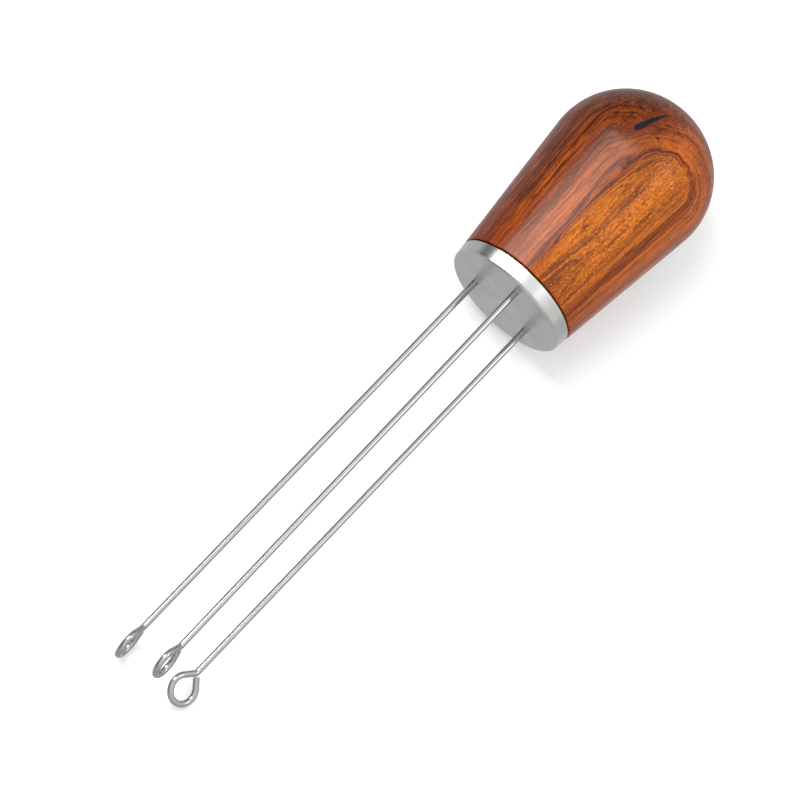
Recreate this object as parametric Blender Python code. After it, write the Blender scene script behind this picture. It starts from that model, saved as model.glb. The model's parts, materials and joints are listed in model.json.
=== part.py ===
"""Three-wire coffee stirring tool with a turned wooden handle, lying at rest on a flat surface.

Each piece is modelled in the tool's own frame: the origin is the centre of the steel base's front
face, +X runs along the handle towards its dome, and the wires run towards -X. One empty then lays
the whole tool down on its widest ring and on the eyes of its two lower wires.
"""
import math

import bmesh
import bpy
import numpy as np
from mathutils import Matrix, Vector

MM = 0.001

# Fit
GAP = 0.3 * MM                   # left between two pieces that touch
THREAD_RADIUS = 3.0 * MM         # M6

# Steel base
FACE_RADIUS = 14.0 * MM          # flat front face, inside its rim chamfer
RIM_CHAMFER = 0.4 * MM
BASE_THICKNESS = 3.5 * MM
BACK_CHAMFER = 0.2 * MM
BOSS_RADIUS = 11.0 * MM          # boss behind the base, sunk in the handle
BOSS_LENGTH = 4.5 * MM
TAPPED_DEPTH = 6.0 * MM          # blind, from the boss's back

# Wooden handle: a cone that runs tangent into a nearly round dome
WIDEST_AT = 40.1 * MM            # from the base's front face
WIDEST_RADIUS = 18.65 * MM
DOME_LENGTH = 18.2 * MM          # from the widest ring to the top
MOUTH_ROUND = 0.25 * MM
BORE_DEPTH = 21.0 * MM           # drilled past the insert, from the handle's mouth

# Threaded insert and joining stud
INSERT_RADIUS = 4.6 * MM
INSERT_LENGTH = 12.0 * MM
INSERT_GROOVE = 0.45 * MM
STUD_LENGTH = 17.0 * MM
STUD_CHAMFER = 0.6 * MM
SOCKET_RADIUS = 1.73 * MM        # corners of a 3 mm hexagon socket
SOCKET_DEPTH = 3.0 * MM

# Wires
WIRE_RADIUS = 0.7 * MM
PITCH_RADIUS = 8.4 * MM
SET_DEPTH = 6.0 * MM             # how far a wire is set into the base
NECK_ANGLE = math.radians(40.0)  # the wire turns aside by this before its eye
NECK_BEND = 1.0 * MM
EYE_RADIUS = 3.16 * MM           # of the wire's centre line
EYE_SWEEP = math.radians(270.0)

# name: (angle round the face from +Y, face to neck, turn of the eye's plane, lean towards -Y)
WIRES = {
    "stirring_wire_left": (-28.35, 104.6 * MM, -100.5, 0.18),
    "stirring_wire_top": (91.65, 105.4 * MM, -106.8, 0.49),
    "stirring_wire_right": (211.65, 103.5 * MM, -145.8, 0.12),
}
STANDS_ON = ("stirring_wire_left", "stirring_wire_right")

# Fineness of the meshes
TURNED_SIDES = 56
SMALL_SIDES = 24
DOME_STEPS = 13
ARC_STEP = math.radians(15.0)
SMOOTH_BELOW = math.radians(35.0)


def material(name, colour, roughness, metallic):
    """A Principled material of one colour."""
    made = bpy.data.materials.new(name)
    made.use_nodes = True
    shader = made.node_tree.nodes["Principled BSDF"]
    shader.inputs["Base Color"].default_value = (*colour, 1.0)
    shader.inputs["Roughness"].default_value = roughness
    shader.inputs["Metallic"].default_value = metallic
    made.diffuse_color = (*colour, 1.0)
    return made


def add(name, data, finish, frame):
    """Links a new object under the tool's frame."""
    thing = bpy.data.objects.new(name, data)
    data.materials.append(finish)
    thing.parent = frame
    bpy.context.scene.collection.objects.link(thing)
    return thing


def turned_mesh(name, outline, sides):
    """A closed solid turned round X from (x, radius) points, first and last on the axis or joined."""
    shape = bmesh.new()
    rings = []
    for x, radius in outline:
        if radius == 0.0:
            rings.append([shape.verts.new((x, 0.0, 0.0))])
            continue
        turns = [math.tau * side / sides for side in range(sides)]
        rings.append([shape.verts.new((x, radius * math.cos(t), radius * math.sin(t))) for t in turns])
    ends_on_axis = outline[0][1] == 0.0
    pairs = zip(rings, rings[1:] if ends_on_axis else rings[1:] + rings[:1])
    for near, far in pairs:
        for side in range(sides):
            after = (side + 1) % sides
            corners = [near[side % len(near)], near[after % len(near)], far[after % len(far)], far[side % len(far)]]
            shape.faces.new(list(dict.fromkeys(corners)))
    bmesh.ops.recalc_face_normals(shape, faces=shape.faces)
    mesh = bpy.data.meshes.new(name)
    shape.to_mesh(mesh)
    shape.free()
    mesh.shade_smooth()
    mesh.set_sharp_from_angle(angle=SMOOTH_BELOW)
    return mesh


def handle_outline():
    """(x, radius) points down the wood's outside, from its mouth to the top of the dome."""
    start_x = BASE_THICKNESS + GAP
    rim = FACE_RADIUS + RIM_CHAMFER
    along = (RIM_CHAMFER - WIDEST_AT) / DOME_LENGTH
    across = rim / WIDEST_RADIUS
    # the cone starts at the base's rim and touches the dome's ellipse at this angle
    touch = math.atan2(across, along) - math.acos(1.0 / math.hypot(along, across))
    steps = [touch * (1.0 - step / DOME_STEPS) for step in range(DOME_STEPS)]
    dome = [(WIDEST_AT + DOME_LENGTH * math.cos(t), WIDEST_RADIUS * math.sin(t)) for t in steps]
    slope = (dome[0][1] - rim) / (dome[0][0] - RIM_CHAMFER)
    mouth = rim + slope * (start_x - RIM_CHAMFER)
    rounded = [(start_x, mouth - MOUTH_ROUND), (start_x + MOUTH_ROUND, mouth + slope * MOUTH_ROUND)]
    return rounded + dome + [(WIDEST_AT + DOME_LENGTH, 0.0)], slope


def wooden_handle(finish, frame):
    """The knob: solid wood with a blind stepped bore for the boss, the insert and the stud."""
    outside, _ = handle_outline()
    mouth = BASE_THICKNESS + GAP
    boss_seat = BASE_THICKNESS + BOSS_LENGTH + GAP
    insert_seat = boss_seat + INSERT_LENGTH + 2.0 * GAP
    bore_end = mouth + BORE_DEPTH
    stud_bore = THREAD_RADIUS + GAP
    inside = [
        (bore_end + stud_bore, 0.0),
        (bore_end, stud_bore),
        (insert_seat, stud_bore),
        (insert_seat, INSERT_RADIUS + GAP),
        (boss_seat, INSERT_RADIUS + GAP),
        (boss_seat, BOSS_RADIUS + GAP),
        (mouth, BOSS_RADIUS + GAP),
    ]
    mesh = turned_mesh("wooden_handle", inside + outside, TURNED_SIDES)
    return add("wooden_handle", mesh, finish, frame)


def hole_centre(angle):
    """Where a wire enters the base's face."""
    turn = math.radians(angle)
    return Vector((0.0, PITCH_RADIUS * math.cos(turn), PITCH_RADIUS * math.sin(turn)))


def steel_base(finish, frame):
    """The turned disc and its boss, with a blind tapped hole behind and a blind hole for each wire."""
    _, slope = handle_outline()
    rim = FACE_RADIUS + RIM_CHAMFER
    back = rim + slope * (BASE_THICKNESS - RIM_CHAMFER)
    boss_end = BASE_THICKNESS + BOSS_LENGTH
    outline = [
        (0.0, 0.0),
        (0.0, FACE_RADIUS),
        (RIM_CHAMFER, rim),
        (BASE_THICKNESS - BACK_CHAMFER, back - slope * BACK_CHAMFER),
        (BASE_THICKNESS, back - BACK_CHAMFER),
        (BASE_THICKNESS, BOSS_RADIUS),
        (boss_end - RIM_CHAMFER, BOSS_RADIUS),
        (boss_end, BOSS_RADIUS - RIM_CHAMFER),
        (boss_end, THREAD_RADIUS),
        (boss_end - TAPPED_DEPTH, THREAD_RADIUS),
        (boss_end - TAPPED_DEPTH, 0.0),
    ]
    base = add("steel_base", turned_mesh("steel_base", outline, TURNED_SIDES), finish, frame)
    hole_radius = WIRE_RADIUS + GAP
    bottom = SET_DEPTH + GAP
    drill_outline = [(-1.0 * MM, 0.0), (-1.0 * MM, hole_radius), (bottom, hole_radius), (bottom, 0.0)]
    drill_mesh = turned_mesh("drill", drill_outline, SMALL_SIDES)
    for name, (angle, *_) in WIRES.items():
        drill = bpy.data.objects.new("drill_for_" + name, drill_mesh)
        drill.parent = frame
        drill.location = hole_centre(angle)
        drill.hide_render = True
        drill.display_type = "WIRE"
        bpy.context.scene.collection.objects.link(drill)
        cut = base.modifiers.new("hole for " + name, "BOOLEAN")
        cut.operation = "DIFFERENCE"
        cut.object = drill
    return base


def threaded_insert(finish, frame):
    """The brass sleeve pressed into the wood, grooved outside to grip."""
    start = BASE_THICKNESS + BOSS_LENGTH + GAP + GAP
    pitch = INSERT_LENGTH / 4.0
    outline = []
    for band in range(4):
        begin = start + band * pitch
        outline.append((begin, INSERT_RADIUS - INSERT_GROOVE))
        outline.append((begin + 0.3 * pitch, INSERT_RADIUS))
        outline.append((begin + 0.7 * pitch, INSERT_RADIUS))
    end = start + INSERT_LENGTH
    outline.append((end, INSERT_RADIUS - INSERT_GROOVE))
    outline.append((end, THREAD_RADIUS))
    outline.append((start, THREAD_RADIUS))
    mesh = turned_mesh("threaded_insert", outline, SMALL_SIDES)
    return add("threaded_insert", mesh, finish, frame)


def joining_stud(finish, frame):
    """The headless screw between the base and the insert, with a hexagon socket in its back end."""
    start = BASE_THICKNESS + BOSS_LENGTH - TAPPED_DEPTH + GAP
    end = start + STUD_LENGTH
    radius = THREAD_RADIUS - GAP
    outline = [
        (start, 0.0),
        (start, radius - STUD_CHAMFER),
        (start + STUD_CHAMFER, radius),
        (end - STUD_CHAMFER, radius),
        (end, radius - STUD_CHAMFER),
        (end, 0.0),
    ]
    stud = add("joining_stud", turned_mesh("joining_stud", outline, SMALL_SIDES), finish, frame)
    floor = end - SOCKET_DEPTH
    socket_outline = [(floor, 0.0), (floor, SOCKET_RADIUS), (end + 1.0 * MM, SOCKET_RADIUS), (end + 1.0 * MM, 0.0)]
    socket = bpy.data.objects.new("socket_cutter", turned_mesh("socket_cutter", socket_outline, 6))
    socket.parent = frame
    socket.hide_render = True
    socket.display_type = "WIRE"
    bpy.context.scene.collection.objects.link(socket)
    cut = stud.modifiers.new("hexagon socket", "BOOLEAN")
    cut.operation = "DIFFERENCE"
    cut.object = socket
    return stud


def arc(points, heading, radius, turn):
    """Adds an arc that leaves the last point along heading and turns by an angle; returns the new heading."""
    x, y = points[-1]
    side = math.copysign(1.0, turn)
    centre = (x - side * radius * math.sin(heading), y + side * radius * math.cos(heading))
    steps = max(2, math.ceil(abs(turn) / ARC_STEP))
    for step in range(1, steps + 1):
        now = heading + turn * step / steps
        points.append((centre[0] + side * radius * math.sin(now), centre[1] - side * radius * math.cos(now)))
    return heading + turn


def straight(points, heading, length):
    """Adds a straight run."""
    x, y = points[-1]
    points.append((x + length * math.cos(heading), y + length * math.sin(heading)))


def wire_path(neck):
    """A wire's centre line in its own plane, (along, aside), from its set end to its eye's cut end."""
    corner = NECK_BEND * math.tan(NECK_ANGLE / 2.0)
    points = [(-SET_DEPTH, 0.0), (0.0, 0.0)]
    straight(points, 0.0, neck - corner)
    heading = arc(points, 0.0, NECK_BEND, -NECK_ANGLE)
    straight(points, heading, EYE_RADIUS - corner)
    heading = arc(points, heading, EYE_RADIUS, EYE_SWEEP)
    straight(points, heading, EYE_RADIUS - WIRE_RADIUS - GAP)
    return points


def stirring_wire(name, finish, frame):
    """One round wire, bent into an open eye at its free end."""
    angle, neck, turn, lean = WIRES[name]
    curve = bpy.data.curves.new(name, "CURVE")
    curve.dimensions = "3D"
    curve.bevel_depth = WIRE_RADIUS
    curve.bevel_resolution = 3
    curve.use_fill_caps = True
    path = wire_path(neck)
    run = curve.splines.new("POLY")
    run.points.add(len(path) - 1)
    for point, (along, aside) in zip(run.points, path):
        point.co = (-along, aside, 0.0, 1.0)
    wire = add(name, curve, finish, frame)
    wire.location = hole_centre(angle)
    wire.rotation_euler = (math.radians(turn), 0.0, math.radians(lean))
    return wire


def wire_points(name):
    """A wire's centre line in the tool's frame."""
    angle, neck, turn, lean = WIRES[name]
    turned = Matrix.Rotation(math.radians(lean), 3, "Z") @ Matrix.Rotation(math.radians(turn), 3, "X")
    return [hole_centre(angle) + turned @ Vector((-along, aside, 0.0)) for along, aside in wire_path(neck)]


def resting_rotation():
    """The turn that brings the plane touching the handle and both lower eyes to horizontal."""
    outside, _ = handle_outline()
    eyes = [wire_points(name) for name in STANDS_ON]
    down = Vector((0.0, 0.0, -1.0))
    for _ in range(30):
        around = math.hypot(down.y, down.z)
        x, radius = max(outside, key=lambda point: point[0] * down.x + point[1] * around)
        touches = [Vector((x, radius * down.y / around, radius * down.z / around))]
        for points in eyes:
            touches.append(max(points, key=down.dot) + WIRE_RADIUS * down)
        down = (touches[1] - touches[0]).cross(touches[2] - touches[0]).normalized()
        if down.z > 0.0:
            down.negate()
    up = -down
    forward = (Vector((1.0, 0.0, 0.0)) - up * up.x).normalized()
    return Matrix((forward, up.cross(forward), up)).to_quaternion()


def lay_down(frame, pieces):
    """Rests the tool on z = 0, with the middle of its bounding box over the origin."""
    frame.rotation_mode = "QUATERNION"
    frame.rotation_quaternion = resting_rotation()
    bpy.context.view_layer.update()
    depsgraph = bpy.context.evaluated_depsgraph_get()
    corners = []
    for piece in pieces:
        evaluated = piece.evaluated_get(depsgraph)
        mesh = evaluated.to_mesh()
        corners += [evaluated.matrix_world @ vertex.co for vertex in mesh.vertices]
        evaluated.to_mesh_clear()
    spots = np.array(corners)
    low, high = spots.min(axis=0), spots.max(axis=0)
    frame.location = (-(low[0] + high[0]) / 2.0, -(low[1] + high[1]) / 2.0, -low[2])


def main():
    for old in list(bpy.data.objects):
        bpy.data.objects.remove(old, do_unlink=True)
    wood = material("rosewood", (0.33, 0.10, 0.03), 0.22, 0.0)
    steel = material("brushed steel", (0.62, 0.62, 0.61), 0.32, 1.0)
    bright = material("polished steel", (0.72, 0.72, 0.71), 0.15, 1.0)
    brass = material("brass", (0.78, 0.57, 0.24), 0.30, 1.0)
    dark = material("blackened steel", (0.10, 0.10, 0.11), 0.45, 1.0)
    frame = bpy.data.objects.new("tool_frame", None)
    bpy.context.scene.collection.objects.link(frame)
    pieces = [
        wooden_handle(wood, frame),
        steel_base(steel, frame),
        threaded_insert(brass, frame),
        joining_stud(dark, frame),
    ]
    pieces += [stirring_wire(name, bright, frame) for name in WIRES]
    lay_down(frame, pieces)
    bpy.context.view_layer.update()


main()
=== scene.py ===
# %% [markdown]
# # A stirring tool in rosewood and steel
#
# The tool is a turned wooden knob on a flat steel base, with three long steel wires that each end in an
# open eye. The CAD model fixes where every piece is and how large it is. This file gives the pieces
# their fine surface and their finish. It can be read from top to bottom as a lesson: each step says
# what the real piece is like, then makes it.

# %% Load the frame
import json
import math

import bmesh
import bpy
from mathutils import Matrix, Vector


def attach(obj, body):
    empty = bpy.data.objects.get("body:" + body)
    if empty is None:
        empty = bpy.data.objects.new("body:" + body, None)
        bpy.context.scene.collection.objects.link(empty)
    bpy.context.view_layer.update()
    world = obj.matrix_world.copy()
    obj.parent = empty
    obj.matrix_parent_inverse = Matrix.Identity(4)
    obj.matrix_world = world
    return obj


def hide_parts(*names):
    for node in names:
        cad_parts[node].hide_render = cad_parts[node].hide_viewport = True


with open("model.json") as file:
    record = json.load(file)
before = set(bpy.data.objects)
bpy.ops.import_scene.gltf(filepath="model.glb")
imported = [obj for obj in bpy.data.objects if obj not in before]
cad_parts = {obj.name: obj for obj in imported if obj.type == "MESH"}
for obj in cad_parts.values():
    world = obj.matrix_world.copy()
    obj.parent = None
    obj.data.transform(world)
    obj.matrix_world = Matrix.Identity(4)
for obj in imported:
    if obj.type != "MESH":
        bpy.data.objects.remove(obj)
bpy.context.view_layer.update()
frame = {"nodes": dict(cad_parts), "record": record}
nodes = frame["nodes"]
MM = 0.001
print("pieces in the frame:", ", ".join(sorted(nodes)))

# %% [markdown]
# ## Sums between sockets
#
# A node tree is a sum drawn as a picture. Python can write the same sum as text if the things being
# added know how to add themselves. `Socket` wraps one output of a node and overloads the operators, so
# that `1.0 - mask * 0.5` makes two Math nodes. The reflected forms, such as `__rsub__`, are what makes
# a plain number on the left work too.


# %% A socket that can be added and multiplied
class Socket:
    """One output of a node. Each operator adds a Math node and returns its output."""

    def __init__(self, tree, output):
        self.tree = tree
        self.output = output

    def math(self, operation, *others):
        return self.tree.math(operation, self, *others)

    def __add__(self, other):
        return self.math("ADD", other)

    def __sub__(self, other):
        return self.math("SUBTRACT", other)

    def __mul__(self, other):
        return self.math("MULTIPLY", other)

    def __truediv__(self, other):
        return self.math("DIVIDE", other)

    def __pow__(self, other):
        return self.math("POWER", other)

    def __radd__(self, other):
        return self.tree.math("ADD", other, self)

    def __rsub__(self, other):
        return self.tree.math("SUBTRACT", other, self)

    def __rmul__(self, other):
        return self.tree.math("MULTIPLY", other, self)


# %% [markdown]
# ## One way to make any other node
#
# Everything that isn't a sum comes from `Tree.node`. It takes the node's type, then its settings, then
# what goes into its sockets. The order matters: a setting such as a data type can change which sockets
# a node has. The short methods below it only name the few nodes that are used again and again.


# %% A tree written as text
class Tree:
    """A node tree. It works for materials, for the world and for Geometry Nodes alike."""

    def __init__(self, node_tree):
        self.node_tree = node_tree

    def node(self, kind, settings=None, sockets=None, out=0):
        """Adds a node. Settings come first, then its sockets, which are named or counted from 0."""
        made = self.node_tree.nodes.new(kind)
        for key, value in (settings or {}).items():
            if key == "stops":
                self.set_stops(made.color_ramp, value)
            else:
                setattr(made, key, value)
        for key, value in (sockets or {}).items():
            self.feed(made.inputs[key], value)
        return Socket(self, made.outputs[out])

    def feed(self, socket, value):
        """Links a socket to another, or sets its value. A colour of three numbers is made opaque."""
        if isinstance(value, Socket):
            self.node_tree.links.new(value.output, socket)
        elif socket.type == "RGBA" and len(value) == 3:
            socket.default_value = (*value, 1.0)
        else:
            socket.default_value = value

    def set_stops(self, ramp, stops):
        while len(ramp.elements) < len(stops):
            ramp.elements.new(1.0)
        for element, (position, colour) in zip(ramp.elements, stops):
            element.position = position
            element.color = (*colour, 1.0)

    def math(self, operation, *values):
        return self.node("ShaderNodeMath", {"operation": operation}, dict(enumerate(values)))

    def vector(self, operation, *values, out=0):
        """Vector Math. A length, a distance or a dot product comes out of "Value"."""
        return self.node("ShaderNodeVectorMath", {"operation": operation}, dict(enumerate(values)), out)

    def join(self, x, y, z):
        return self.node("ShaderNodeCombineXYZ", None, {0: x, 1: y, 2: z})

    def split(self, vector):
        return [self.node("ShaderNodeSeparateXYZ", None, {0: vector}, axis) for axis in "XYZ"]

    def between(self, value, start, end, to_start=0.0, to_end=1.0, smooth=False):
        """Turns start..end into to_start..to_end, and stays level outside it. Start may be the larger."""
        kind = "SMOOTHSTEP" if smooth else "LINEAR"
        sockets = {0: value, 1: start, 2: end, 3: to_start, 4: to_end}
        return self.node("ShaderNodeMapRange", {"interpolation_type": kind}, sockets)

    def tint(self, share, colour, other, blend="MIX"):
        """Moves a colour towards another by a share from 0 to 1."""
        settings = {"data_type": "RGBA", "blend_type": blend}
        return self.node("ShaderNodeMix", settings, {0: share, 6: colour, 7: other}, 2)

    def noise(self, place, detail=2.0, roughness=0.5):
        """Noise about 1 unit across. Dividing the axes of place stretches it."""
        sockets = {"Vector": place, "Scale": 1.0, "Detail": detail, "Roughness": roughness}
        return self.node("ShaderNodeTexNoise", None, sockets)


# %% [markdown]
# ## Geometry Nodes, from a script to a plain mesh
#
# Three kinds of piece here follow a rule: the knob is a profile turned round an axis, the base has one
# hole repeated round a circle, and the wires are one bend with different lengths. Each gets a tree with
# named inputs for its sizes. `grow` runs the tree and keeps only its result, as a plain mesh.


# %% Start, end and run a tree
def geometry_tree(name, inputs):
    """A tree with named inputs. Returns the tree, its inputs as sockets, and its end."""
    group = bpy.data.node_groups.new(name, "GeometryNodeTree")
    group.interface.new_socket("Geometry", in_out="OUTPUT", socket_type="NodeSocketGeometry")
    kinds = {"Geometry": "Geometry", **inputs, "Material": "Material"}
    for label, kind in kinds.items():
        group.interface.new_socket(label, in_out="INPUT", socket_type="NodeSocket" + kind)
    tree = Tree(group)
    entry = group.nodes.new("NodeGroupInput")
    end = group.nodes.new("NodeGroupOutput")
    return tree, {label: Socket(tree, entry.outputs[label]) for label in kinds}, end


def finish_tree(tree, end, geometry, material):
    """Every tree ends in real faces that carry their material."""
    real = tree.node("GeometryNodeRealizeInstances", None, {"Geometry": geometry})
    dressed = tree.node("GeometryNodeSetMaterial", None, {"Geometry": real, "Material": material})
    tree.feed(end.inputs["Geometry"], dressed)
    print(tree.node_tree.name, "has", len(tree.node_tree.nodes), "nodes")
    return tree.node_tree


def grow(name, start, group, values):
    """Runs a tree on a mesh and keeps its result as a plain mesh object at the origin."""
    host = bpy.data.objects.new("seed_of_" + name, start)
    bpy.context.scene.collection.objects.link(host)
    modifier = host.modifiers.new("grow", "NODES")
    modifier.node_group = group
    for item in group.interface.items_tree:
        if item.in_out == "INPUT" and item.name in values:
            modifier[item.identifier] = values[item.name]
    bpy.context.view_layer.update()
    evaluated = host.evaluated_get(bpy.context.evaluated_depsgraph_get())
    mesh = bpy.data.meshes.new_from_object(evaluated)
    bpy.data.objects.remove(host)
    piece = bpy.data.objects.new(name, mesh)
    bpy.context.scene.collection.objects.link(piece)
    return piece


# %% [markdown]
# ## The tool's own frame
#
# The tool lies on its side, on the knob's widest ring and on two of its eyes, so none of its lines runs
# along X, Y or Z. It is easier to make each piece straight, with the base's face at the origin and the
# handle along +X, and to carry the finished mesh into place. The face's centre and direction are a
# mount of the CAD model. Only the roll about the tool's own axis has to be given.

# %% The tool's frame, from the base's face
REST_ROLL = math.radians(3.899)

face = next(mount for mount in frame["record"]["mounts"] if mount["name"] == "base_face")
face_centre = Vector(face["pos_m"])
tool_x = -Vector(face["axis"]).normalized()
upright = (Vector((0.0, 0.0, 1.0)) - tool_x * tool_x.z).normalized()
tool_z = Matrix.Rotation(REST_ROLL, 3, tool_x) @ upright
tool_y = tool_z.cross(tool_x)
tool_turn = Matrix((tool_x, tool_y, tool_z)).transposed()
print("the wires' end is down by", round(math.degrees(math.asin(tool_x.z)), 2), "degrees")


# %% Carry a finished mesh into place
def settle(piece, smooth_below):
    """Moves the mesh, not the object, shades it, and measures whether it is closed."""
    piece.data.transform(Matrix.Translation(face_centre) @ tool_turn.to_4x4())
    piece.data.shade_smooth()
    piece.data.set_sharp_from_angle(angle=math.radians(smooth_below))
    shape = bmesh.new()
    shape.from_mesh(piece.data)
    open_edges = sum(not edge.is_manifold for edge in shape.edges)
    volume = shape.calc_volume(signed=True) * 1e6
    shape.free()
    print(f"{piece.name}: {len(piece.data.polygons)} faces, {volume:.2f} cm3, {open_edges} open edges")


# %% Where a finish is, in the tool's own millimetres
def new_material(name):
    made = bpy.data.materials.new(name)
    made.use_nodes = True
    return made, Tree(made.node_tree), made.node_tree.nodes["Principled BSDF"]


def tool_space(tree):
    """The surface point in the tool's frame. A Mapping node of type TEXTURE undoes a turn and a move."""
    place = tree.node("ShaderNodeTexCoord", None, None, "Object")
    sockets = {"Vector": place, "Location": face_centre, "Rotation": tool_turn.to_euler()}
    straight = tree.node("ShaderNodeMapping", {"vector_type": "TEXTURE"}, sockets)
    return tree.vector("MULTIPLY", straight, (1.0 / MM, 1.0 / MM, 1.0 / MM))


# %% [markdown]
# ## Rosewood: which way the tree grew
#
# The wood looks like rosewood. Its species can't be told for certain, so the name stands for the look.
# A board of wood is a stack of growth rings, and a turned knob cuts through the stack. If the colour
# depends only on how deep a point lies in the rings, the long U shapes where the rings meet the dome
# come by themselves. So the first thing to make is a grain space: u along the fibres, v across them,
# and w out through the rings. The rings here face a little to the right of the top, and the fibres
# follow the slope of the cone.

# %% Grain space
RING_TURN = math.radians(20.0)
GRAIN_TILT = math.radians(6.1)
GRAIN_ORIGIN = Vector((40.0, 0.0, 0.0))
PITH_DEPTH = 24.0  # the middle of the trunk lies this far behind the tool's axis, in mm

ring_facing = Vector((0.0, -math.sin(RING_TURN), math.cos(RING_TURN)))
grain_w = ring_facing * math.cos(GRAIN_TILT) - Vector((math.sin(GRAIN_TILT), 0.0, 0.0))
grain_v = grain_w.cross(Vector((1.0, 0.0, 0.0))).normalized()
grain_turn = Matrix((grain_v.cross(grain_w), grain_v, grain_w)).transposed()


def grain_space(tree, here):
    sockets = {"Vector": here, "Location": GRAIN_ORIGIN, "Rotation": grain_turn.to_euler()}
    return tree.split(tree.node("ShaderNodeMapping", {"vector_type": "TEXTURE"}, sockets))


def ring_depth(tree, u, v, w, swirl):
    """How deep in the rings a point lies, in mm, with slow and quick waves and a swell at the knot."""
    slow = tree.noise(tree.join(u / 70.0, v / 11.0, w / 11.0)) - 0.5
    quick = tree.noise(tree.join(u / 22.0, v / 2.5, w / 2.5)) - 0.5
    out = w + PITH_DEPTH
    return (v * v + out * out).math("SQRT") - PITH_DEPTH + slow * 2.6 + quick * 0.9 - swirl * 1.6


print("rings face", [round(part, 3) for part in grain_w], "in the tool's frame")

# %% [markdown]
# ## The knot
#
# One small knot has left a bluish black slit near the top of the dome, wide at one end and thin at the
# other, with a pin-sized black dot below it. The slit is the distance from a short line, measured on
# the surface. The same distance bends the rings round it and reddens the wood beside it.

# %% The knot's slit
KNOT_START = Vector((41.8, 5.6, 17.7))
KNOT_END = Vector((50.5, 2.4, 15.1))
PIN_KNOT = Vector((43.6, 0.8, 18.2))
INK = (0.0035, 0.0032, 0.0045)


def knot(tree, here):
    """The share of the way along the slit, the distance from it, and where it may show at all."""
    run = KNOT_END - KNOT_START
    out = ((KNOT_START + KNOT_END) / 2.0 - GRAIN_ORIGIN).normalized()
    aside = out.cross(run).normalized()
    offset = tree.vector("SUBTRACT", here, KNOT_START)
    along = tree.vector("DOT_PRODUCT", offset, run / run.length_squared, out="Value")
    inside = along.math("MAXIMUM", 0.0).math("MINIMUM", 1.0)
    beyond = (along - inside) * run.length
    lateral = tree.vector("DOT_PRODUCT", offset, aside, out="Value")
    away = (lateral * lateral + beyond * beyond).math("SQRT")
    height = tree.vector("DOT_PRODUCT", offset, out, out="Value")
    return inside, away, tree.between(height, -6.0, -4.0)


def slit_and_pin(tree, here, inside, away, upper):
    """1 in the slit and in the pin knot, with ragged edges."""
    ragged = tree.noise(tree.vector("MULTIPLY", here, (1.4, 1.4, 1.4)), 3.0, 0.6) - 0.5
    width = (1.0 - inside) ** 0.7 * (inside * 9.0 + 0.25).math("MINIMUM", 1.0) * 0.72 + 0.02
    slit = tree.between(away + ragged * 0.9, width + 0.3, width - 0.1) * upper
    pin = tree.vector("DISTANCE", here, PIN_KNOT, out="Value")
    return slit.math("MAXIMUM", tree.between(pin + ragged * 0.5, 0.55, 0.25))


print("the slit is", round((KNOT_END - KNOT_START).length, 1), "mm long")

# %% [markdown]
# ## The colour of the rings
#
# Under lacquer, wood of this kind runs from black lines through red-brown to a golden orange. A colour
# ramp over the ring depth gives the broad zones: gold where the rings lie flat at the top, red-brown
# down the sides. Lines are added on top of it, each a noise that is stretched along the fibres. Those
# that belong to the rings read the depth, so that they bend where the rings bend.

# %% Colours of rosewood
DARK = (0.022, 0.0030, 0.0022)
RED = (0.135, 0.0165, 0.0030)
BROWN = (0.255, 0.042, 0.0042)
AMBER = (0.470, 0.104, 0.0070)
GOLD = (0.470, 0.126, 0.0080)
FLAME = (0.420, 0.076, 0.0055)
GLINT = (0.800, 0.260, 0.0160)
RINGS = {
    3.0: RED, 6.5: BROWN, 8.0: RED, 10.5: BROWN, 11.5: RED, 13.0: AMBER, 14.2: BROWN,
    15.6: AMBER, 16.9: AMBER, 17.2: BROWN, 17.45: AMBER, 17.8: GOLD, 19.5: GOLD,
}
BLACK_LINES = (17.12, 17.46)  # two thin black rings round the gold, by their depth in mm


def ring_colour(tree, depth):
    low, high = min(RINGS), max(RINGS)
    stops = [((place - low) / (high - low), colour) for place, colour in RINGS.items()]
    return tree.node("ShaderNodeValToRGB", {"stops": stops}, {0: tree.between(depth, low, high)})


def draw_lines(tree, colour, u, v, w, depth):
    """Black lines, orange flames and long threads. The left side of the tool has the most."""
    side = tree.between(depth, 17.2, 12.5) * tree.between(v, -2.0, 6.0, 0.35, 1.0)
    lines = tree.noise(tree.join(u / 80.0, depth * 2.3, v / 26.0), 5.0, 0.7)
    colour = tree.tint(tree.between(lines, 0.52, 0.41) * (0.32 + 0.55 * side), colour, DARK)
    broken = tree.between(tree.noise(tree.join(u / 9.0, v / 2.0, w / 2.0), 3.0, 0.6), 0.36, 0.56)
    for place in BLACK_LINES:
        off = (depth - place) / 0.085
        colour = tree.tint((off * off * -1.0).math("EXPONENT") * broken * 0.85, colour, DARK)
    fine = tree.noise(tree.join(u / 60.0, depth * 7.0, v / 14.0), 2.0, 0.6)
    colour = tree.tint(tree.between(fine, 0.46, 0.36) * 0.75, colour, DARK)
    flames = tree.noise(tree.join(u / 12.0, v, depth / 0.6), 3.0, 0.62)
    colour = tree.tint(tree.between(flames, 0.53, 0.64) * side * 0.8, colour, FLAME)
    colour = tree.tint(tree.between(flames, 0.48, 0.38) * (0.2 + 0.65 * side), colour, DARK)
    threads = tree.noise(tree.join(u / 26.0, v / 0.45, depth / 0.28), 3.0, 0.65)
    return tree.tint(tree.between(threads, 0.48, 0.37) * (0.45 + 0.3 * side), colour, DARK)


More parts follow.
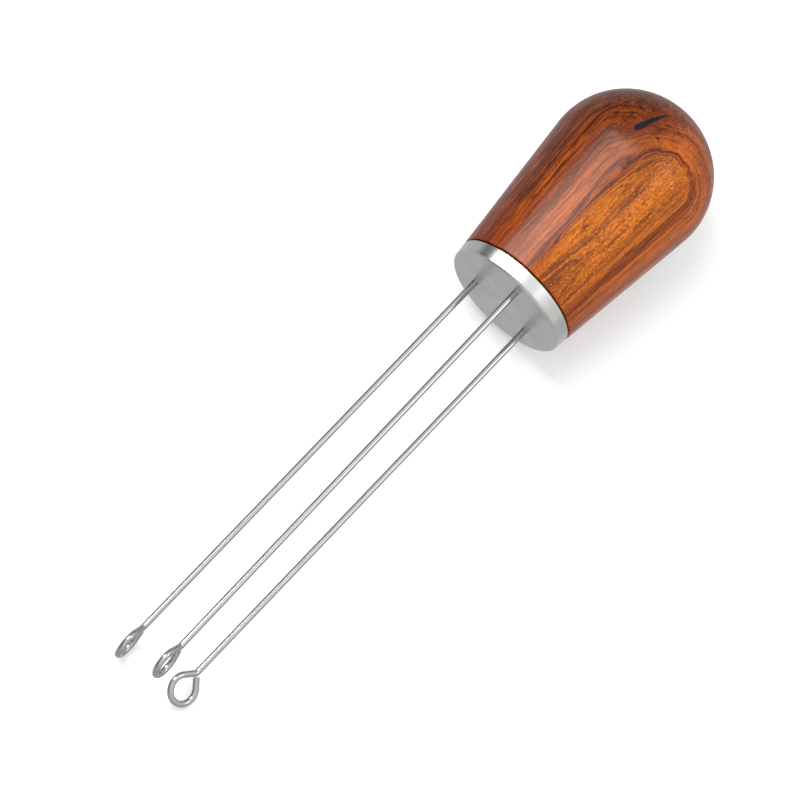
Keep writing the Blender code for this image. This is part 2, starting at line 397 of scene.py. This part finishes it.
def draw_pores(tree, colour, u, v, w, depth):
    """Short dark pores everywhere, and a golden mottle where the rings lie flat."""
    pores = tree.noise(tree.join(u / 2.6, v / 0.17, w / 0.17), 2.0, 0.6)
    colour = tree.tint(tree.between(pores, 0.53, 0.64) * 0.7, colour, RED)
    flat = tree.between(depth, 17.3, 18.4, 0.25, 1.0)
    mottle = tree.noise(tree.join(u / 0.75, v / 0.26, w / 0.26), 2.0, 0.6)
    colour = tree.tint(tree.between(mottle, 0.52, 0.38) * 0.55 * flat, colour, RED)
    colour = tree.tint(tree.between(mottle, 0.53, 0.70) * 0.5 * flat, colour, GLINT)
    streaks = tree.noise(tree.join(u / 40.0, v / 0.6, w / 0.6), 4.0, 0.7)
    return tree.tint(tree.between(streaks, 0.46, 0.36) * 0.5, colour, RED), pores


# %% [markdown]
# ## The finished rosewood
#
# The wood is lacquered. In the shader that is a dull body under a thin clear coat. The coat is smooth
# enough for a soft highlight, and its low IOR keeps the dark lines dark.


# %% Rosewood
def rosewood():
    made, tree, shader = new_material("rosewood_lacquered")
    here = tool_space(tree)
    inside, away, upper = knot(tree, here)
    u, v, w = grain_space(tree, here)
    swirl = (away * away / -18.0).math("EXPONENT") * upper
    depth = ring_depth(tree, u, v, w, swirl)
    colour = draw_lines(tree, ring_colour(tree, depth), u, v, w, depth)
    colour, pores = draw_pores(tree, colour, u, v, w, depth)

    # painted shade: the knob's left side is darkened, and more so on the left towards the dome, standing in
    # for light falling off there
    painted_shade_left = tree.between(u, -14.0, 4.0) * tree.between(v, 1.0, 8.0)
    shade = tree.between(v, 3.0, 12.0, 1.0, 0.72) * (1.0 - 0.4 * painted_shade_left)
    colour = tree.tint(1.0, colour, tree.join(shade, shade, shade), "MULTIPLY")
    # and the wood is redder towards the base
    colour = tree.tint(tree.between(u, -20.0, -35.0) * 0.35, colour, RED)
    colour = tree.tint((away * away / -5.0).math("EXPONENT") * upper * 0.55, colour, RED)
    colour = tree.tint(slit_and_pin(tree, here, inside, away, upper), colour, INK)

    tree.feed(shader.inputs["Base Color"], colour)
    tree.feed(shader.inputs["Roughness"], 0.5 + pores * 0.1)
    shader.inputs["Specular IOR Level"].default_value = 0.0
    shader.inputs["Coat Weight"].default_value = 0.85
    shader.inputs["Coat IOR"].default_value = 1.3
    shader.inputs["Coat Roughness"].default_value = 0.27
    print(made.name, "has", len(made.node_tree.nodes), "nodes")
    return made


wood = rosewood()

# %% [markdown]
# ## Turned and brushed steel
#
# A base like this would be faced and turned on a lathe, so its marks run round the axis: on the rim they
# are lines that run round it, and on the face they are rings. Both are one noise over the distance along the
# axis and the radius, stretched a long way round. The rim is finer than the face, so it is smoother.


# %% Steel for the base
def brushed_steel():
    made, tree, shader = new_material("steel_turned")
    here = tool_space(tree)
    x, y, z = tree.split(here)
    radius = (y * y + z * z).math("SQRT")
    around = y.math("ARCTAN2", z)
    marks = tree.noise(tree.join(x * 14.0, radius * 14.0, around * 0.6), 4.0, 0.7)
    cloud = tree.noise(tree.vector("MULTIPLY", here, (0.22, 0.22, 0.22)), 3.0)
    grey = tree.between(marks, 0.3, 0.7, 0.47, 0.56) * tree.between(cloud, 0.3, 0.7, 0.92, 1.06)
    tree.feed(shader.inputs["Base Color"], tree.join(grey, grey, grey * 0.985))
    turned = tree.between(x, 0.05, 0.35, 0.30, 0.16)  # from the face, at x = 0, to the finer rim
    tree.feed(shader.inputs["Roughness"], turned + marks * 0.08 + cloud * 0.04)
    shader.inputs["Metallic"].default_value = 1.0
    sockets = {"Strength": 0.15, "Distance": 0.02 * MM, "Height": marks}
    tree.feed(shader.inputs["Normal"], tree.node("ShaderNodeBump", None, sockets))
    return made


steel = brushed_steel()
print(steel.name, "is ready")

# %% [markdown]
# ## Drawn wire, and the metals inside
#
# Wire is usually pulled through a die, which leaves long faint lines and an almost bright surface. What
# joins the knob to the base is out of sight. A brass insert and a dark stud are the CAD model's guess at
# it, so their finish is a guess too: fine turning marks across the axis.


# %% Wire steel and hidden metals
def drawn_wire():
    made, tree, shader = new_material("steel_wire_drawn")
    x, y, z = tree.split(tool_space(tree))
    lines = tree.noise(tree.join(x * 0.15, y * 9.0, z * 9.0), 3.0, 0.6)
    grey = tree.between(lines, 0.3, 0.7, 0.33, 0.42)
    tree.feed(shader.inputs["Base Color"], tree.join(grey, grey, grey * 0.99))
    tree.feed(shader.inputs["Roughness"], 0.09 + lines * 0.08)
    shader.inputs["Metallic"].default_value = 1.0
    return made


def machined(name, colour, roughness):
    made, tree, shader = new_material(name)
    x, y, z = tree.split(tool_space(tree))
    marks = tree.noise(tree.join(x * 6.0, y * 0.3, z * 0.3), 3.0)
    tree.feed(shader.inputs["Base Color"], tree.tint(marks, [part * 0.8 for part in colour], colour))
    tree.feed(shader.inputs["Roughness"], roughness + marks * 0.15)
    shader.inputs["Metallic"].default_value = 1.0
    return made


wire_steel = drawn_wire()
hidden = {
    "threaded_insert": machined("brass_machined", (0.78, 0.57, 0.24), 0.25),
    "joining_stud": machined("steel_blackened", (0.10, 0.10, 0.11), 0.4),
}
for node, finish in hidden.items():
    nodes[node].data.materials.clear()
    nodes[node].data.materials.append(finish)
    print(node, "keeps its CAD shape, in", finish.name)

# %% [markdown]
# ## The knob
#
# The knob is a cone that runs without an edge into a nearly round dome. Turning it is a rule with two
# numbers: how far along the profile, and how far round. A grid has exactly those two, so a Set Position
# node can wrap a flat grid into the knob. Where the grid's edges meet, and at the top of the dome, the
# points fall on each other and are merged.

# %% Sizes shared with the CAD model
SKIN = 0.05 * MM  # the fine surface stays this far inside the CAD's, whose flat facets cut corners
FIT = 0.3 * MM  # the gap between wood and steel
FACE_RADIUS = 14.0 * MM
RIM_CHAMFER = 0.4 * MM
BASE_THICKNESS = 3.5 * MM
MOUTH = BASE_THICKNESS + FIT  # where the wood begins
LIP = 0.25 * MM  # the round on the edge of the wood
WIDEST_AT = 40.1 * MM
WIDEST_RADIUS = 18.65 * MM - SKIN
DOME_LENGTH = 18.2 * MM - SKIN

# where the cone that starts at the base's rim touches the dome, as an angle round the dome's ellipse
rim_x = (RIM_CHAMFER - WIDEST_AT) / DOME_LENGTH
rim_r = (FACE_RADIUS + RIM_CHAMFER) / WIDEST_RADIUS
TOUCH = math.atan2(rim_r, rim_x) - math.acos(1.0 / math.hypot(rim_x, rim_r))
touch_x = WIDEST_AT + DOME_LENGTH * math.cos(TOUCH)
SLOPE = (WIDEST_RADIUS * math.sin(TOUCH) - FACE_RADIUS - RIM_CHAMFER) / (touch_x - RIM_CHAMFER)


def cone_radius(x):
    return FACE_RADIUS + RIM_CHAMFER + SLOPE * (x - RIM_CHAMFER)


print("the cone opens by", round(math.degrees(math.atan(SLOPE)), 2), "degrees a side")


# %% A knob from a grid
def knob_tree():
    names = ["Start", "Start Radius", "Widest At", "Widest Radius", "Dome Length", "Touch Angle"]
    inputs = {**dict.fromkeys(names, "Float"), "Rings": "Int", "Sides": "Int"}
    tree, given, end = geometry_tree("turned_knob", inputs)
    vertices = {"Vertices X": given["Rings"], "Vertices Y": given["Sides"] + 1.0}
    grid = tree.node("GeometryNodeMeshGrid", None, {"Size X": 1.0, "Size Y": 1.0, **vertices})
    across, along, _ = tree.split(tree.node("GeometryNodeInputPosition"))
    turn = (along + 0.5) * math.tau

    # the first third of the rings lies on the cone, the rest on the dome
    share = (across + 0.5) * 3.0
    cone = tree.between(share, 0.0, 1.0)
    angle = given["Touch Angle"] * tree.between(share, 1.0, 3.0, 1.0, 0.0)
    dome_x = given["Widest At"] + given["Dome Length"] * angle.math("COSINE")
    dome_r = given["Widest Radius"] * angle.math("SINE")
    x = given["Start"] * (1.0 - cone) + dome_x * cone
    r = given["Start Radius"] * (1.0 - cone) + dome_r * cone

    spot = tree.join(x, r * turn.math("COSINE"), r * turn.math("SINE"))
    shaped = tree.node("GeometryNodeSetPosition", None, {"Geometry": grid, "Position": spot})
    merge = {"Geometry": shaped, "Distance": 0.002 * MM}
    closed = tree.node("GeometryNodeMergeByDistance", None, merge)
    return finish_tree(tree, end, closed, given["Material"])


start_radius = cone_radius(MOUTH + LIP)
knob_sizes = {
    "Start": MOUTH + LIP,
    "Start Radius": start_radius,
    "Widest At": WIDEST_AT,
    "Widest Radius": WIDEST_RADIUS,
    "Dome Length": DOME_LENGTH,
    "Touch Angle": TOUCH,
    "Rings": 121,
    "Sides": 192,
    "Material": wood,
}
knob = grow("turned_knob", bpy.data.meshes.new("nothing"), knob_tree(), knob_sizes)

# %% [markdown]
# The tree leaves one open ring at the mouth. The rounded lip, the mouth and the stepped bore for the
# base's boss, the insert and the stud are few rings, so plain extrusion is the shortest way to add them.

# %% The knob's lip and bore
BOSS_RADIUS = 11.0 * MM
BOSS_END = BASE_THICKNESS + 4.5 * MM
INSERT_SEAT = BOSS_END + FIT + 12.6 * MM
INSERT_BORE = 4.9 * MM
THREAD_RADIUS = 3.0 * MM
BORE_END = MOUTH + 21.0 * MM
LIP_STEPS = 5


def extend_ring(shape, ring, x, radius):
    """Extrudes an open ring of edges to a new place on the axis and a new radius."""
    made = bmesh.ops.extrude_edge_only(shape, edges=ring)["geom"]
    for vertex in (item for item in made if isinstance(item, bmesh.types.BMVert)):
        spoke = Vector((0.0, vertex.co.y, vertex.co.z)).normalized() * radius
        vertex.co = (x, spoke.y, spoke.z)
    return [item for item in made if isinstance(item, bmesh.types.BMEdge)]


bends = [math.pi / 2.0 * step / LIP_STEPS for step in range(1, LIP_STEPS + 1)]
lip = [(MOUTH + LIP * (1.0 - math.sin(b)), start_radius - LIP * (1.0 - math.cos(b))) for b in bends]
bore = [
    (MOUTH, BOSS_RADIUS + FIT),
    (BOSS_END + FIT, BOSS_RADIUS + FIT),
    (BOSS_END + FIT, INSERT_BORE),
    (INSERT_SEAT, INSERT_BORE),
    (INSERT_SEAT, THREAD_RADIUS + FIT),
    (BORE_END, THREAD_RADIUS + FIT),
]
shape = bmesh.new()
shape.from_mesh(knob.data)
ring = [edge for edge in shape.edges if edge.is_boundary]
for x, radius in lip + bore:
    ring = extend_ring(shape, ring, x, radius)
bmesh.ops.holes_fill(shape, edges=ring, sides=0)
bmesh.ops.recalc_face_normals(shape, faces=shape.faces)
shape.to_mesh(knob.data)
shape.free()
settle(knob, smooth_below=35.0)

# %% [markdown]
# ## The base
#
# The disc, its chamfers and the boss behind it are one turned profile, which a short lathe function
# draws. The three wire holes are one drill, set out round a circle: the tree places the drill on three
# points and cuts them all with one Mesh Boolean. The holes are a hair wider than the wires, so that the
# two meshes never touch.


# %% A lathe for the base's blank
def lathe(name, outline, sides):
    """Turns (x, radius) points round the X axis."""
    shape = bmesh.new()
    rings = []
    for x, radius in outline:
        turns = [math.tau * side / sides for side in range(sides)] if radius else [0.0]
        rings.append([shape.verts.new((x, radius * math.cos(t), radius * math.sin(t))) for t in turns])
    for near, far in zip(rings, rings[1:]):
        for side in range(sides):
            after = (side + 1) % sides
            corners = [near[side % len(near)], near[after % len(near)]]
            corners += [far[after % len(far)], far[side % len(far)]]
            shape.faces.new(list(dict.fromkeys(corners)))
    bmesh.ops.recalc_face_normals(shape, faces=shape.faces)
    mesh = bpy.data.meshes.new(name)
    shape.to_mesh(mesh)
    shape.free()
    return mesh


BACK_CHAMFER = 0.2 * MM
TAPPED_END = BOSS_END - 6.0 * MM
edge_x = BASE_THICKNESS - BACK_CHAMFER
blank = lathe(
    "blank",
    [
        (0.0, 0.0),
        (0.0, FACE_RADIUS),
        (RIM_CHAMFER, FACE_RADIUS + RIM_CHAMFER),
        (edge_x, cone_radius(edge_x)),
        (BASE_THICKNESS, cone_radius(BASE_THICKNESS) - BACK_CHAMFER),
        (BASE_THICKNESS, BOSS_RADIUS),
        (BOSS_END - RIM_CHAMFER, BOSS_RADIUS),
        (BOSS_END, BOSS_RADIUS - RIM_CHAMFER),
        (BOSS_END, THREAD_RADIUS),
        (TAPPED_END, THREAD_RADIUS),
        (TAPPED_END, 0.0),
    ],
    sides=192,
)
print("the blank has", len(blank.polygons), "faces")


# %% Drill the base
def drilling_tree():
    sizes = ["Pitch Radius", "First Turn", "Hole Radius", "Hole Depth"]
    inputs = {"Holes": "Int", "Drill Sides": "Int", **dict.fromkeys(sizes, "Float")}
    tree, given, end = geometry_tree("ring_of_holes", inputs)
    drill_sockets = {
        "Vertices": given["Drill Sides"],
        "Radius": given["Hole Radius"],
        "Depth": given["Hole Depth"] * 2.0,
    }
    drill = tree.node("GeometryNodeMeshCylinder", None, drill_sockets)
    lying = {"Geometry": drill, "Rotation": (0.0, math.pi / 2.0, 0.0)}
    turn = given["First Turn"] + tree.node("GeometryNodeInputIndex") * math.tau / given["Holes"]
    out = given["Pitch Radius"]
    spot = tree.join(0.0, out * turn.math("COSINE"), out * turn.math("SINE"))
    points = tree.node("GeometryNodePoints", None, {"Count": given["Holes"], "Position": spot})
    copies = {"Points": points, "Instance": tree.node("GeometryNodeTransform", None, lying)}
    drills = tree.node("GeometryNodeInstanceOnPoints", None, copies)
    parts = {"Mesh 1": given["Geometry"], "Mesh 2": drills}
    cut = tree.node("GeometryNodeMeshBoolean", {"operation": "DIFFERENCE"}, parts)
    return finish_tree(tree, end, cut, given["Material"])


PITCH_RADIUS = 8.4 * MM
FIRST_HOLE = -28.35  # degrees round the face from +Y
WIRE_RADIUS = 0.7 * MM
WIRE_SET = 6.0 * MM
drill_sizes = {
    "Holes": 3,
    "Drill Sides": 48,
    "Pitch Radius": PITCH_RADIUS,
    "First Turn": math.radians(FIRST_HOLE),
    "Hole Radius": WIRE_RADIUS + 0.06 * MM,
    "Hole Depth": WIRE_SET + FIT,
    "Material": steel,
}
base = grow("turned_base", blank, drilling_tree(), drill_sizes)
settle(base, smooth_below=35.0)

# %% [markdown]
# ## The wires
#
# Each wire leaves the base straight, kinks to one side, swings round in an eye and runs back until its
# cut end almost touches itself. That is a walk: at every step the heading changes by a known amount,
# and the place is the sum of all the steps so far. An Accumulate Field node is that sum. The shape is
# the CAD model's: a short neck bend, a straight lead, three quarters of a circle and a straight tail.

# %% The shape of an eye
NECK_ANGLE = math.radians(40.0)
NECK_BEND = 1.0 * MM
EYE_RADIUS = 3.16 * MM - SKIN / 2.0
EYE_SWEEP = math.radians(270.0)
CUT_GAP = FIT  # left between the cut end and the lead, as in the CAD model
print("an eye is", round(2.0 * (EYE_RADIUS + WIRE_RADIUS) / MM, 2), "mm across")


# %% A wire as a walk
def bent_wire_tree():
    names = ["Set Depth", "Neck", "Neck Angle", "Neck Bend"]
    names += ["Eye Radius", "Eye Sweep", "Cut Gap", "Wire Radius"]
    inputs = {**dict.fromkeys(names, "Float"), "Steps": "Int", "Sides": "Int"}
    tree, given, end = geometry_tree("bent_wire", inputs)

    # the lengths of the runs, one after another
    corner = given["Neck Bend"] * (given["Neck Angle"] / 2.0).math("TANGENT")
    bend_end = given["Neck Bend"] * given["Neck Angle"]
    eye_start = bend_end + given["Eye Radius"] - corner
    eye_end = eye_start + given["Eye Radius"] * given["Eye Sweep"]
    tail = given["Eye Radius"] - given["Wire Radius"] - given["Cut Gap"]
    step = (eye_end + tail) / given["Steps"]

    # point 0 is set in the base, point 1 is where the neck begins, and the rest walk round the eye
    index = tree.node("GeometryNodeInputIndex")
    gone = (index - 1.5) * step
    heading = tree.between(gone, eye_start, eye_end, 0.0, given["Eye Sweep"])
    heading = heading - tree.between(gone, 0.0, bend_end, 0.0, given["Neck Angle"])
    straight = index.math("COMPARE", 1.0, 0.1) * (given["Set Depth"] + given["Neck"] - corner)
    stride = straight + index.math("GREATER_THAN", 1.5) * step
    move = tree.join(stride * heading.math("COSINE") * -1.0, stride * heading.math("SINE"), 0.0)
    walked = tree.node("GeometryNodeAccumulateField", {"data_type": "FLOAT_VECTOR"}, {0: move})
    spot = tree.vector("ADD", walked, tree.join(given["Set Depth"], 0.0, 0.0))

    line = tree.node("GeometryNodeMeshLine", None, {"Count": given["Steps"] + 2.0})
    shaped = tree.node("GeometryNodeSetPosition", None, {"Geometry": line, "Position": spot})
    path = tree.node("GeometryNodeMeshToCurve", None, {"Mesh": shaped})
    section = {"Resolution": given["Sides"], "Radius": given["Wire Radius"]}
    round_section = tree.node("GeometryNodeCurvePrimitiveCircle", None, section)
    tube = {"Curve": path, "Profile Curve": round_section, "Fill Caps": True}
    solid = tree.node("GeometryNodeCurveToMesh", None, tube)
    return finish_tree(tree, end, solid, given["Material"])


wire_sizes = {
    "Set Depth": WIRE_SET,
    "Neck Angle": NECK_ANGLE,
    "Neck Bend": NECK_BEND,
    "Eye Radius": EYE_RADIUS,
    "Eye Sweep": EYE_SWEEP,
    "Cut Gap": CUT_GAP,
    "Wire Radius": WIRE_RADIUS,
    "Steps": 150,
    "Sides": 24,
    "Material": wire_steel,
}
bending = bent_wire_tree()

# %% Bend the three wires
# node it stands for: (neck length, turn of the eye about the wire, lean of the wire), in hole order
WIRES = {
    "stirring_wire_left": (104.6 * MM, -100.5, 0.18),
    "stirring_wire_top": (105.4 * MM, -106.8, 0.49),
    "stirring_wire_right": (103.5 * MM, -145.8, 0.12),
}
wires = {}
for place, (node, (neck, turn, lean)) in enumerate(WIRES.items()):
    wire = grow("bent_" + node, bpy.data.meshes.new("nothing"), bending, {**wire_sizes, "Neck": neck})
    hole = math.radians(FIRST_HOLE) + math.tau * place / len(WIRES)
    spoke = Vector((0.0, math.cos(hole), math.sin(hole))) * PITCH_RADIUS
    swing = Matrix.Rotation(math.radians(lean), 4, "Z") @ Matrix.Rotation(math.radians(turn), 4, "X")
    wire.data.transform(Matrix.Translation(spoke) @ swing)
    settle(wire, smooth_below=60.0)
    wires[node] = wire

# %% [markdown]
# ## The table and the light
#
# The tool lies on glowing white paper. A long soft box to the left of it makes the broad highlight along
# the knob and the white patch on the rim. It is narrow in the other direction, so that less of it shows
# in the wires. A small box on the right draws the bright line down the wires. The room is pale overhead
# and dark low on the left, which the metals show as their dark edges. The paper is kept out of the
# reflections, so the metals see the room's grey below.


# %% White paper
def white_paper(size, sink):
    """A flat square, a little under the tool so that the two never share a plane."""
    shape = bmesh.new()
    bmesh.ops.create_grid(shape, x_segments=1, y_segments=1, size=size)
    mesh = bpy.data.meshes.new("paper")
    shape.to_mesh(mesh)
    shape.free()
    finish, _, shader = new_material("white_paper")
    shader.inputs["Base Color"].default_value = (0.52, 0.52, 0.52, 1.0)
    shader.inputs["Roughness"].default_value = 0.9
    shader.inputs["Emission Color"].default_value = (1.0, 1.0, 1.0, 1.0)
    shader.inputs["Emission Strength"].default_value = 0.32
    mesh.materials.append(finish)
    sheet = bpy.data.objects.new("paper", mesh)
    sheet.location.z = -sink
    sheet.visible_glossy = False
    bpy.context.scene.collection.objects.link(sheet)
    return sheet


paper = white_paper(size=3.0, sink=0.2 * MM)
print("the paper is", paper.dimensions.x, "m wide")

# %% The room
world = bpy.data.worlds.new("studio")
bpy.context.scene.world = world
world.use_nodes = True
room = Tree(world.node_tree)
_, left, up = room.split(room.node("ShaderNodeTexCoord", None, None, "Generated"))
wall = room.between(left, -0.5, 0.8, 1.05, 0.2, smooth=True)
above = wall + (1.4 - wall) * room.between(up, 0.25, 0.9, smooth=True)
over = room.between(up, -0.12, 0.02)
glow = over * above + (1.0 - over) * 0.72
room.feed(world.node_tree.nodes["Background"].inputs["Color"], room.join(glow, glow, glow))
print("the room has", len(world.node_tree.nodes), "nodes")


# %% Soft boxes
def looking_from(azimuth, elevation):
    """The direction from the tool to a place. Azimuth 0 is -Y and 90 is +X."""
    a, e = math.radians(azimuth), math.radians(elevation)
    return Vector((math.sin(a) * math.cos(e), -math.cos(a) * math.cos(e), math.sin(e)))


def soft_box(name, azimuth, elevation, distance, width, height, radiance):
    """A rectangular light that faces the tool. Its power follows from its brightness and its size."""
    lamp = bpy.data.lights.new(name, "AREA")
    lamp.shape = "RECTANGLE"
    lamp.size = width
    lamp.size_y = height
    lamp.energy = radiance * math.pi * width * height
    light = bpy.data.objects.new(name, lamp)
    bpy.context.scene.collection.objects.link(light)
    back = looking_from(azimuth, elevation)
    light.location = back * distance
    light.rotation_euler = back.to_track_quat("Z", "Y").to_euler()
    print(name, "soft box:", round(lamp.energy, 1), "W")


BOX_DISTANCE = 0.9
soft_box("left", 176.0, 57.0, BOX_DISTANCE, width=0.20, height=0.88, radiance=16.15)
soft_box("right", 32.0, 49.6, BOX_DISTANCE, width=0.24, height=0.34, radiance=3.0)

# %% [markdown]
# ## The camera
#
# A long lens looks steeply down from the wires' end, rolled so that the tool runs from the lower left
# to the upper right. The view transform is Standard, which keeps white paper white.

# %% The camera
CAMERA_AZIMUTH = -80.49
CAMERA_ELEVATION = 67.02
CAMERA_ROLL = math.radians(33.99)
AIM = Vector((1.94 * MM, 2.49 * MM, 0.0))
CAMERA_DISTANCE = 1.2684

lens = bpy.data.cameras.new("camera")
lens.sensor_width = 36.0
lens.lens = 270.0
lens.clip_end = 20.0
camera = bpy.data.objects.new("camera", lens)
bpy.context.scene.collection.objects.link(camera)
bpy.context.scene.camera = camera
back = looking_from(CAMERA_AZIMUTH, CAMERA_ELEVATION)
level = Vector((0.0, 0.0, 1.0)).cross(back).normalized()
unrolled = Matrix((level, back.cross(level), back)).transposed()
turned = (unrolled @ Matrix.Rotation(CAMERA_ROLL, 3, "Z")).to_4x4()
camera.matrix_world = Matrix.Translation(AIM + back * CAMERA_DISTANCE) @ turned
bpy.context.scene.view_settings.view_transform = "Standard"
print("the camera is", round(camera.matrix_world.translation.z, 3), "m up")

# %% [markdown]
# ## Hand over
#
# Nothing on this tool moves, so every piece rides on the one body. Each fine piece is listed with a
# finish name, and says which CAD node it stands for.

# %% Ride and replace
fine_pieces = {"wooden_handle": (knob, "rosewood"), "steel_base": (base, "brushed_steel")}
fine_pieces.update({node: (wire, "polished_wire") for node, wire in wires.items()})
for node, (piece, finish) in fine_pieces.items():
    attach(piece, "root")
    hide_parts(node)
    print(piece.name, "stands for", node)
